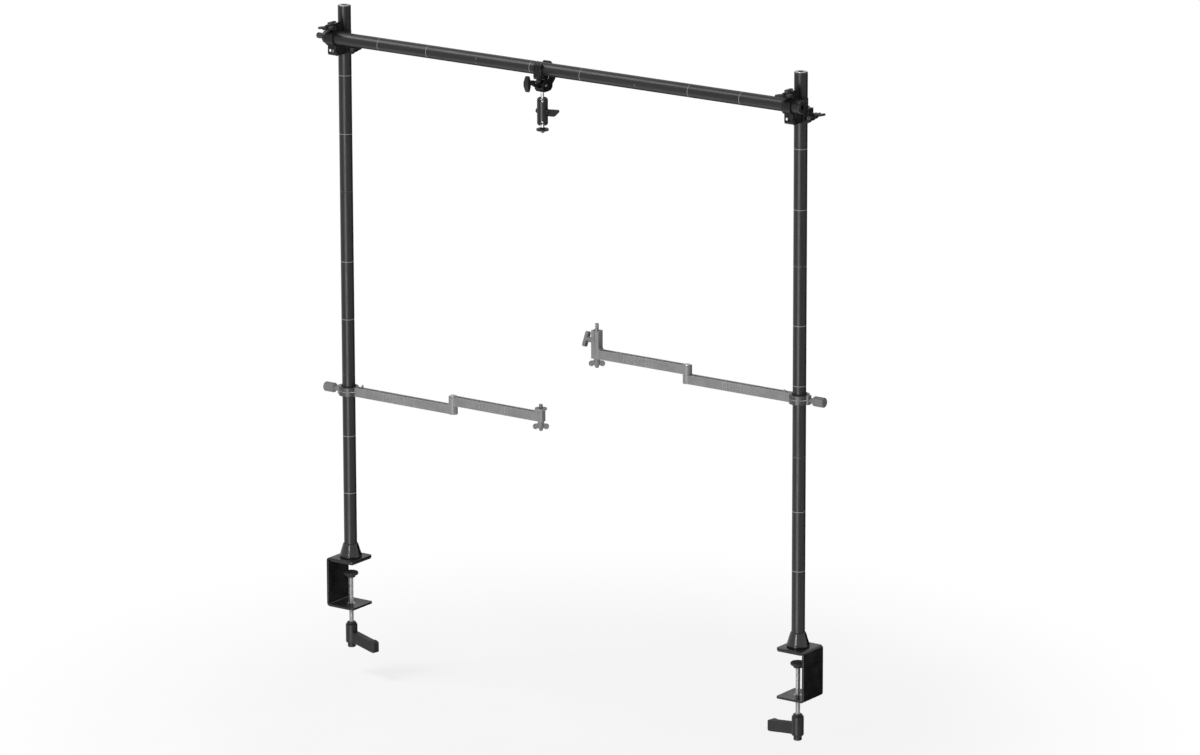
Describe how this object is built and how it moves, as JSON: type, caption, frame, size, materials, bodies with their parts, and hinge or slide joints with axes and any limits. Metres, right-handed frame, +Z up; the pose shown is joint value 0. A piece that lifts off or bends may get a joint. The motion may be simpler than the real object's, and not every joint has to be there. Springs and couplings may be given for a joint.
{
  "type": "desk camera stand",
  "caption": "Desk-edge gantry for overhead filming: clamped poles, a crossbar on corner couplers, a clamp-on double-ball camera arm and folding side arms.",
  "frame": {"origin": "on the left pole's axis, in the plane of the desk top, which is the underside of the left clamp's upper jaw", "axes": "+X along the crossbar towards the right pole, +Y away from the person at the desk, +Z up along the poles"},
  "size_m": [1.011, 0.1092, 1.1163],
  "materials": {
    "tubes": "satin black anodising",
    "castings": "black powder coat on cast aluminium",
    "barrel": "black anodising",
    "bracket_paint": "gloss black paint",
    "steel": "bright zinc plate",
    "black_steel": "black oxide",
    "black_plastic": "moulded, fine texture",
    "nut_black": "black coated, die cast",
    "rubber": "matte",
    "arm_grey": "satin grey anodising",
    "grey_plastic": "moulded grey"
  },
  "bodies": {
    "stand": {"left_bracket": "bracket_paint", "right_bracket": "bracket_paint", "jaw_pads": "rubber", "base_flanges": "bracket_paint", "base_bolts": "steel", "clamp_nuts": "steel", "left_pole_lower": "tubes", "left_pole_middle": "tubes", "left_pole_upper": "tubes", "right_pole_lower": "tubes", "right_pole_middle": "tubes", "right_pole_upper": "tubes", "pole_joiners": "steel", "pole_set_screws": "steel"},
    "left_pad": {"left_pressure_pad": "rubber"},
    "left_screw": {"left_clamp_screw": "steel", "left_clamp_handle": "black_plastic"},
    "right_pad": {"right_pressure_pad": "rubber"},
    "right_screw": {"right_clamp_screw": "steel", "right_clamp_handle": "black_plastic"},
    "crossbar": {"bar_left": "tubes", "bar_middle": "tubes", "bar_right": "tubes", "bar_joiners": "black_steel", "left_corner_block": "castings", "right_corner_block": "castings", "corner_bolts": "black_steel", "corner_pins": "black_steel"},
    "left_front_strap": {"left_bar_strap": "castings"},
    "left_back_strap": {"left_pole_strap": "castings"},
    "right_front_strap": {"right_bar_strap": "castings"},
    "right_back_strap": {"right_pole_strap": "castings"},
    "left_front_nut": {"left_bar_nut": "nut_black"},
    "left_back_nut": {"left_pole_nut": "nut_black"},
    "right_front_nut": {"right_bar_nut": "nut_black"},
    "right_back_nut": {"right_pole_nut": "nut_black"},
    "crab": {"crab_body": "castings", "crab_pivot": "steel"},
    "crab_front_jaw": {"crab_jaw": "castings"},
    "crab_screw": {"crab_knob": "black_plastic"},
    "upper_ball": {"upper_ball_stud": "steel"},
    "barrel": {"arm_shell_left": "barrel", "arm_shell_right": "barrel"},
    "thumbscrew": {"arm_thumbscrew": "black_plastic"},
    "camera_stud": {"lower_ball_stud": "steel"},
    "camera_disc": {"lock_disc": "black_plastic"},
    "left_collar": {"left_collar_sleeve": "rubber"},
    "left_lower_arm": {"left_lower_link": "arm_grey", "left_elbow_pin": "steel"},
    "left_collar_screw": {"left_collar_knob": "grey_plastic"},
    "left_upper_arm": {"left_upper_link": "arm_grey"},
    "left_post_screw": {"left_wing_screw": "grey_plastic"},
    "right_collar": {"right_collar_sleeve": "rubber"},
    "right_lower_arm": {"right_lower_link": "arm_grey", "right_elbow_pin": "steel"},
    "right_collar_screw": {"right_collar_knob": "grey_plastic"},
    "right_upper_arm": {"right_upper_link": "arm_grey"},
    "right_post_screw": {"right_wing_screw": "grey_plastic"},
    "phone_ball": {"phone_ball_stud": "steel"},
    "phone_ball_lock": {"phone_ball_knob": "grey_plastic"}
  },
  "joints": [
    {"name": "left_pad_travel", "type": "slide", "parent": "stand", "child": "left_pad", "axis": [0, 0, 1], "range_m": [-0.0401, 0.0151]},
    {"name": "left_clamp_turn", "type": "hinge", "parent": "left_pad", "child": "left_screw", "pos_m": [0, 0, -0.1], "axis": [0, 0, 1], "range_deg": [-11520, 4320]},
    {"name": "right_pad_travel", "type": "slide", "parent": "stand", "child": "right_pad", "axis": [0, 0, 1], "range_m": [-0.0401, 0.0151]},
    {"name": "right_clamp_turn", "type": "hinge", "parent": "right_pad", "child": "right_screw", "pos_m": [0.913, 0, -0.1], "axis": [0, 0, 1], "range_deg": [-11520, 4320]},
    {"name": "crossbar_height", "type": "slide", "parent": "stand", "child": "crossbar", "axis": [0, 0, 1], "range_m": [-0.15, 0.018]},
    {"name": "left_bar_strap_open", "type": "hinge", "parent": "crossbar", "child": "left_front_strap", "pos_m": [0.002, -0.035, 0.8855], "axis": [1, 0, 0], "range_deg": [0, 1.25]},
    {"name": "left_bar_nut_turn", "type": "hinge", "parent": "left_front_strap", "child": "left_front_nut", "pos_m": [0.002, -0.046, 0.9324], "axis": [0, -1, 0], "range_deg": [0, 360]},
    {"name": "left_pole_strap_open", "type": "hinge", "parent": "crossbar", "child": "left_back_strap", "pos_m": [-0.0195, 0, 0.893], "axis": [0, 0, 1], "range_deg": [0, 1.16]},
    {"name": "left_pole_nut_turn", "type": "hinge", "parent": "left_back_strap", "child": "left_back_nut", "pos_m": [0.018, 0.012, 0.8895], "axis": [0, 1, 0], "range_deg": [0, 270]},
    {"name": "right_bar_strap_open", "type": "hinge", "parent": "crossbar", "child": "right_front_strap", "pos_m": [0.915, -0.035, 0.8855], "axis": [1, 0, 0], "range_deg": [0, 1.25]},
    {"name": "right_bar_nut_turn", "type": "hinge", "parent": "right_front_strap", "child": "right_front_nut", "pos_m": [0.915, -0.046, 0.9324], "axis": [0, -1, 0], "range_deg": [0, 360]},
    {"name": "right_pole_strap_open", "type": "hinge", "parent": "crossbar", "child": "right_back_strap", "pos_m": [0.8935, 0, 0.893], "axis": [0, 0, 1], "range_deg": [0, 1.16]},
    {"name": "right_pole_nut_turn", "type": "hinge", "parent": "right_back_strap", "child": "right_back_nut", "pos_m": [0.931, 0.012, 0.8895], "axis": [0, 1, 0], "range_deg": [0, 270]},
    {"name": "crab_slide", "type": "slide", "parent": "crossbar", "child": "crab", "axis": [1, 0, 0], "range_m": [-0.36, 0.396]},
    {"name": "crab_jaw_open", "type": "hinge", "parent": "crab", "child": "crab_front_jaw", "pos_m": [0.43, -0.036, 0.886], "axis": [1, 0, 0], "range_deg": [0, 8]},
    {"name": "crab_knob_turn", "type": "hinge", "parent": "crab_front_jaw", "child": "crab_screw", "pos_m": [0.43, -0.064, 0.8945], "axis": [0, -1, 0], "range_deg": [0, 427]},
    {"name": "ball_stud_swivel", "type": "hinge", "parent": "crab", "child": "upper_ball", "pos_m": [0.43, -0.034, 0.868], "axis": [0, 0, 1], "range_deg": [-170, 170]},
    {"name": "barrel_tilt", "type": "hinge", "parent": "upper_ball", "child": "barrel", "pos_m": [0.43, -0.034, 0.8578], "axis": [0, 1, 0], "range_deg": [-25, 25]},
    {"name": "thumbscrew_turn", "type": "hinge", "parent": "barrel", "child": "thumbscrew", "pos_m": [0.445, -0.034, 0.8418], "axis": [1, 0, 0], "range_deg": [-180, 180]},
    {"name": "camera_stud_tilt", "type": "hinge", "parent": "barrel", "child": "camera_stud", "pos_m": [0.43, -0.034, 0.8258], "axis": [0, 1, 0], "range_deg": [-25, 25]},
    {"name": "camera_disc_turn", "type": "hinge", "parent": "camera_stud", "child": "camera_disc", "pos_m": [0.43, -0.034, 0.8113], "axis": [0, 0, 1], "range_deg": [-180, 180]},
    {"name": "left_arm_height", "type": "slide", "parent": "stand", "child": "left_collar", "axis": [0, 0, 1], "range_m": [-0.15, 0.035]},
    {"name": "left_arm_swing", "type": "hinge", "parent": "left_collar", "child": "left_lower_arm", "pos_m": [0, 0, 0.298], "axis": [0, 0, 1], "continuous": true},
    {"name": "left_collar_knob_turn", "type": "hinge", "parent": "left_lower_arm", "child": "left_collar_screw", "pos_m": [-0.03, 0, 0.298], "axis": [-1, 0, 0], "range_deg": [-180, 180]},
    {"name": "left_elbow_fold", "type": "hinge", "parent": "left_lower_arm", "child": "left_upper_arm", "pos_m": [0.219, 0, 0.306], "axis": [0, 0, 1], "range_deg": [-150, 150]},
    {"name": "left_post_screw_turn", "type": "hinge", "parent": "left_upper_arm", "child": "left_post_screw", "pos_m": [0.3995, 0, 0.298], "axis": [0, 0, 1], "range_deg": [-180, 180]},
    {"name": "right_arm_height", "type": "slide", "parent": "stand", "child": "right_collar", "axis": [0, 0, 1], "range_m": [-0.035, 0.15]},
    {"name": "right_arm_swing", "type": "hinge", "parent": "right_collar", "child": "right_lower_arm", "pos_m": [0.913, 0, 0.423], "axis": [0, 0, 1], "continuous": true},
    {"name": "right_collar_knob_turn", "type": "hinge", "parent": "right_lower_arm", "child": "right_collar_screw", "pos_m": [0.943, 0, 0.423], "axis": [1, 0, 0], "range_deg": [-180, 180]},
    {"name": "right_elbow_fold", "type": "hinge", "parent": "right_lower_arm", "child": "right_upper_arm", "pos_m": [0.694, 0, 0.431], "axis": [0, 0, 1], "range_deg": [-150, 150]},
    {"name": "right_post_screw_turn", "type": "hinge", "parent": "right_upper_arm", "child": "right_post_screw", "pos_m": [0.5135, 0, 0.423], "axis": [0, 0, 1], "range_deg": [-180, 180]},
    {"name": "phone_ball_tilt", "type": "hinge", "parent": "right_upper_arm", "child": "phone_ball", "pos_m": [0.5135, 0, 0.4728], "axis": [0, 1, 0], "range_deg": [-20, 20]},
    {"name": "phone_ball_lock_turn", "type": "hinge", "parent": "right_upper_arm", "child": "phone_ball_lock", "pos_m": [0.4985, 0, 0.4603], "axis": [-1, 0, 0], "range_deg": [-180, 180]}
  ],
  "couplings": [
    {"joint": "left_pad_travel", "follows": "left_clamp_turn", "m_per_rad": 0.00019894},
    {"joint": "right_pad_travel", "follows": "right_clamp_turn", "m_per_rad": 0.00019894},
    {"joint": "left_bar_strap_open", "follows": "left_bar_nut_turn", "ratio": 0.0033935},
    {"joint": "left_pole_strap_open", "follows": "left_pole_nut_turn", "ratio": 0.0042441},
    {"joint": "right_bar_strap_open", "follows": "right_bar_nut_turn", "ratio": 0.0033935},
    {"joint": "right_pole_strap_open", "follows": "right_pole_nut_turn", "ratio": 0.0042441},
    {"joint": "crab_jaw_open", "follows": "crab_knob_turn", "ratio": 0.018724}
  ]
}
